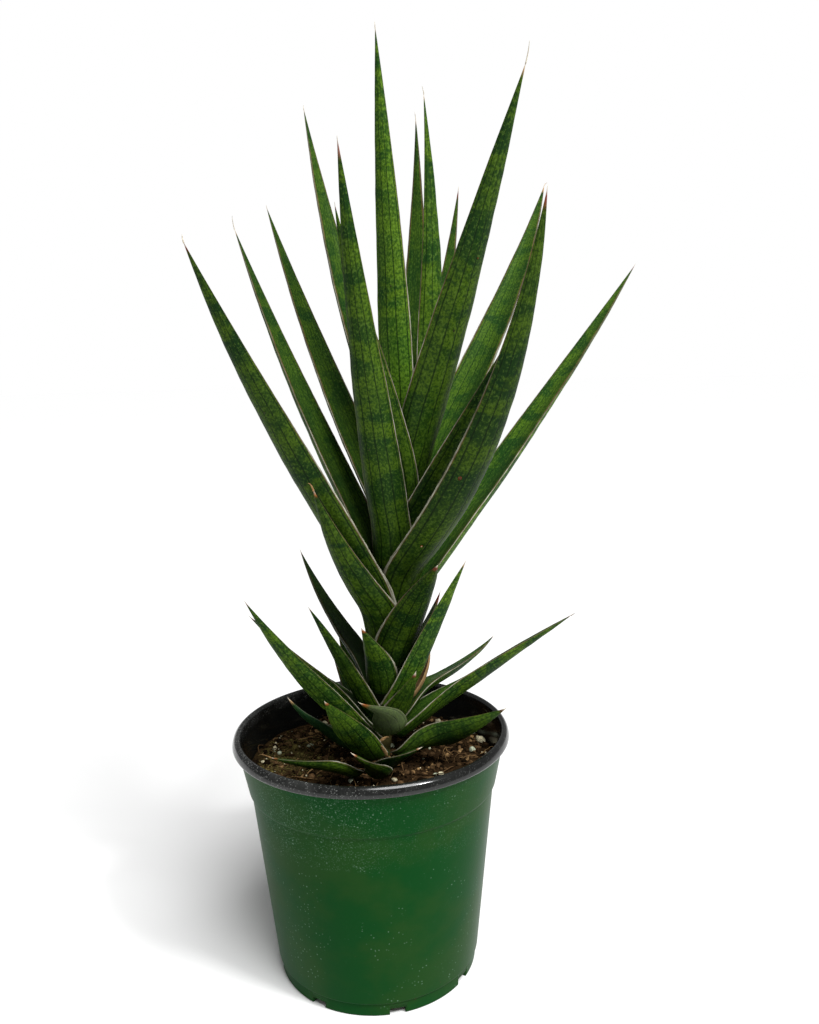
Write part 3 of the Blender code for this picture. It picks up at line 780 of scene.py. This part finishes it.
def mixHeight(x, y):
    away = math.hypot(x, y) / mixSizes["edge"]
    rough = 1.3 * wobble(x / 13, y / 13) + 0.9 * wobble(x / 5, y / 5, 3) + 0.45 * wobble(x / 2, y / 2, 7)
    tuft = mossiness(x, y) * (1.0 + 1.1 * wobble(x / 3.1, y / 3.1, 11))
    return mixSizes["level"] - mixSizes["dish"] * away**2 + rough * (1.0 - 0.35 * away**4) + tuft


def mixPiece():
    wall = [(38.0, 1.9), (38.0, 5.5), (39.0, 6.5), (46.0, 74.4), (46.7, 76.6), (mixSizes["edge"], 82.0)]
    rows = []
    turns = np.linspace(0.0, math.tau, mixSizes["turns"] + 1)
    for r, z in [(0.0, 1.9)] + wall:
        rows.append([(r * math.cos(a), r * math.sin(a), z) for a in turns])
    for k in range(mixSizes["rings"], -1, -1):
        r = mixSizes["edge"] * k / mixSizes["rings"]
        ring = [(r * math.cos(a), r * math.sin(a)) for a in turns]
        rows.append([(x, y, mixHeight(x, y)) for x, y in ring])
    points = np.array(rows)
    tones = np.zeros((*points.shape[:2], 4))
    for index in np.ndindex(*points.shape[:2]):
        x, y, z = points[index]
        share = mossiness(x, y)
        tone = np.array(mixTones["dark"]) * (1 - share) + np.array(mixTones["olive"]) * share
        tones[index] = [*tone, 1.0]
    bm = bmesh.new()
    bentGrid(bm, points * mm, [(bm.verts.layers.float_color.new("tone"), tones)])
    return pieceFrom(bm, "mixPlug", [crumbMaterial], "potting_mix")


def toneMaterial(name, roughness, variety, fineness):
    made, tree, shader = newMaterial(name)
    place = addNode(tree, "TexCoord").outputs["Object"]
    tone = attribute(tree, "tone", "Color")
    fine = noiseNode(tree, place, (fineness, fineness, fineness), detail=5, roughness=0.7)
    dark = mixColour(tree, 1.0, tone, (variety, variety, variety, 1), "MULTIPLY")
    colour = mixColour(tree, spread(tree, fine, 0.36, 0.60), dark, tone)
    finishShader(tree, shader, colour, roughness, fine, 0.0005, 0.8)
    return made


def placed(x, y, z, sizes, pick):  # millimetres to a matrix with a random turn
    turn = Matrix.Rotation(pick.uniform(0, math.tau), 4, "Z")
    turn = turn @ Matrix.Rotation(pick.uniform(-0.9, 0.9), 4, "X")
    scale = Matrix.Diagonal((*[s * mm for s in sizes], 1.0))
    return Matrix.Translation((x * mm, y * mm, z * mm)) @ turn @ scale


def discSpot(pick):
    r, a = mixSizes["reach"] * math.sqrt(pick.random()), pick.uniform(0, math.tau)
    return r * math.cos(a), r * math.sin(a)


def varied(tone, pick, amount=0.3):
    k = pick.uniform(1 - amount, 1 + amount)
    return tuple(min(1.0, c * k) for c in tone)


def clodMakers(pick):
    ball = templateMesh("create_icosphere", subdivisions=1, radius=1.0)
    lump = templateMesh("create_icosphere", subdivisions=2, radius=1.0)
    cube = templateMesh("create_cube", size=1.0)
    for _ in range(mixSizes["clods"]):
        x, y = discSpot(pick)
        size = 0.35 + 1.25 * pick.random() ** 3
        name = pick.choices(["black", "dark", "brown", "tan", "grey"], (30, 38, 22, 7, 1.2))[0]
        if pick.random() < 1.2 * mossiness(x, y):
            name = pick.choices(["olive", "moss", "brown", "grey"], (48, 30, 18, 3))[0]
        shape = (size * pick.uniform(0.8, 1.5), size * pick.uniform(0.7, 1.2), size * pick.uniform(0.5, 1.0))
        yield ball, placed(x, y, mixHeight(x, y) + 0.2 * size, shape, pick), varied(mixTones[name], pick), 0.5
    for _ in range(mixSizes["chips"]):
        x, y = discSpot(pick)
        shape = (pick.uniform(1.6, 5.0), pick.uniform(0.9, 2.2), pick.uniform(0.5, 1.1))
        tone = mixTones[pick.choices(["dark", "brown", "tan"], (5, 5, 2))[0]]
        yield cube, placed(x, y, mixHeight(x, y) + 0.35, shape, pick), varied(tone, pick), 0.12
    grains = (  # perlite and pale bits where they lie
        (44.5, 11.5, 2.0, "perlite"), (40.0, 2.0, 1.3, "grey"), (25.5, -18.5, 1.1, "perlite"),
        (29, 33, 1.2, "perlite"), (35, 14, 1.1, "grey"), (-39.5, 11.5, 1.0, "perlite"),
        (-37, 5.5, 0.9, "grey"), (-43, 0, 0.8, "perlite"), (-34.5, 17, 0.9, "perlite"),
        (-8, -23.5, 1.2, "grey"), (8, -21.5, 1.0, "perlite"), (22, 31, 0.9, "perlite"),
        (16, -36, 1.0, "grey"), (-14, -38, 0.9, "perlite"), (-20, 34, 1.3, "perlite"),
        (6, 38, 1.1, "perlite"), (-6, 26, 0.9, "grey"), (33, -28, 0.8, "perlite"),
        (-29, -26, 1.0, "perlite"), (2, -42, 0.8, "perlite"),
    )
    for x, y, size, name in grains:
        shape = (size * 1.2, size, size * 0.85)
        place = placed(x, y, mixHeight(x, y) + 0.5 * size, shape, pick)
        yield lump, place, varied(mixTones[name], pick, 0.15), 0.35
    for _ in range(mixSizes["crumbs"]):
        x, y = discSpot(pick)
        size = pick.uniform(0.25, 0.5)
        place = placed(x, y, mixHeight(x, y) + 0.5, (size, size, size), pick)
        yield ball, place, varied(mixTones["perlite"], pick), 0.3


def fibrePiece(name, count, reach, radii, tones, region, seed):
    pick = random.Random(seed)
    bm = bmesh.new()
    for _ in range(count):
        x, y = region(pick)
        length, heading = pick.uniform(*reach), pick.uniform(0, math.tau)
        bend, lift = pick.uniform(-1.3, 1.3), pick.uniform(0.1, 1.0)
        path = []
        for t in np.linspace(0, 1, 8):
            a = heading + bend * t
            arch = lift * length * 0.18 * math.sin(math.pi * t)
            path.append((x, y, mixHeight(x, y) + 0.3 + arch))
            x, y = x + math.cos(a) * length / 7, y + math.sin(a) * length / 7
            if math.hypot(x, y) > 47.5:
                x, y = x * 0.98, y * 0.98
        thick = pick.uniform(*radii)
        toned(bm, tubePoints(path, [thick] * 8, 5), varied(mixTones[pick.choice(tones)], pick, 0.35))
    return pieceFrom(bm, name, [fibreMaterial], merge=0.000001)


def mossSpot(pick):
    while True:
        x, y = pick.gauss(-33, 8), pick.gauss(6, 13)
        if math.hypot(x, y) < 46.5:
            return x, y


crumbMaterial = toneMaterial("mixCrumbs", 0.92, 0.42, 900)
fibreMaterial = toneMaterial("mixFibres", 0.85, 0.6, 1600)
mixPiece()
scatterPiece("mixGrains", crumbMaterial, clodMakers(random.Random(5)))
rootTones, mossTones = ["tan", "brown", "brown", "dark"], ["moss", "olive", "moss", "tan"]
fibrePiece("mixFibres", mixSizes["fibres"], (4.0, 14.0), (0.10, 0.26), rootTones, discSpot, 11)
fibrePiece("mossFibres", mixSizes["mossFibres"], (1.2, 3.4), (0.07, 0.14), mossTones, mossSpot, 17)
print("potting mix done")


# floor, light and camera
studioSizes = {
    "sky": 0.26, "floorRadius": 9.0, "floorTone": 0.86,
    "sunPower": 3.3, "sunSpread": 34, "sunAim": (-0.36, 0.62, -1.30),
    "frontPlace": (0.45, -0.42, 0.72), "frontTarget": (0, 0, 0.09),
    "frontSides": (0.12, 0.08), "frontPower": 4.0,
}
cameraSizes = {  # millimetres, degrees and metres
    "sensor": 36.0, "lens": 31.64, "turn": -2.95, "dip": 9.66, "roll": -1.52, "place": (0.0, -0.3358, 0.2386),
}


def areaLight(name, place, target, sizes, power):
    data = bpy.data.lights.new(name, "AREA")
    data.shape = "RECTANGLE"
    data.size, data.size_y = sizes
    data.energy = power
    light = bpy.data.objects.new(name, data)
    light.location = place
    light.rotation_euler = (Vector(target) - Vector(place)).to_track_quat("-Z", "Y").to_euler()
    bpy.context.scene.collection.objects.link(light)


def studio():
    size = studioSizes
    scene = bpy.context.scene
    world = bpy.data.worlds.new("paleRoom")
    scene.world = world
    world.use_nodes = True
    sky = world.node_tree.nodes["Background"]
    sky.inputs[0].default_value = (1.0, 1.0, 1.0, 1.0)
    seen = addNode(world.node_tree, "LightPath").outputs["Is Camera Ray"]
    world.node_tree.links.new(spread(world.node_tree, seen, 0.0, 1.0, size["sky"], 1.0), sky.inputs[1])
    bm = bmesh.new()
    bmesh.ops.create_circle(bm, cap_ends=True, segments=64, radius=size["floorRadius"])
    mesh = bpy.data.meshes.new("floor")
    bm.to_mesh(mesh)
    bm.free()
    floor = bpy.data.objects.new("floor", mesh)
    scene.collection.objects.link(floor)
    made, _, shader = newMaterial("paleFloor")
    shader.inputs["Base Color"].default_value = (*[size["floorTone"]] * 3, 1.0)
    shader.inputs["Roughness"].default_value = 0.9
    mesh.materials.append(made)
    sun = bpy.data.lights.new("sun", "SUN")
    sun.energy = size["sunPower"]
    sun.angle = math.radians(size["sunSpread"])
    lamp = bpy.data.objects.new("sun", sun)
    lamp.rotation_euler = Vector(size["sunAim"]).to_track_quat("-Z", "Y").to_euler()
    scene.collection.objects.link(lamp)
    areaLight("front", size["frontPlace"], size["frontTarget"], size["frontSides"], size["frontPower"])


def camera():
    size = cameraSizes
    data = bpy.data.cameras.new("camera")
    data.sensor_width = size["sensor"]
    data.lens = size["lens"]
    made = bpy.data.objects.new("camera", data)
    turn = Matrix.Rotation(math.radians(size["turn"]), 4, "Z")
    turn = turn @ Matrix.Rotation(math.radians(90 - size["dip"]), 4, "X")
    turn = turn @ Matrix.Rotation(math.radians(size["roll"]), 4, "Z")
    made.matrix_world = Matrix.Translation(size["place"]) @ turn
    bpy.context.scene.collection.objects.link(made)
    bpy.context.scene.camera = made


studio()
camera()
bpy.context.scene.view_settings.view_transform = "Standard"
bpy.context.view_layer.update()
print("scene done")
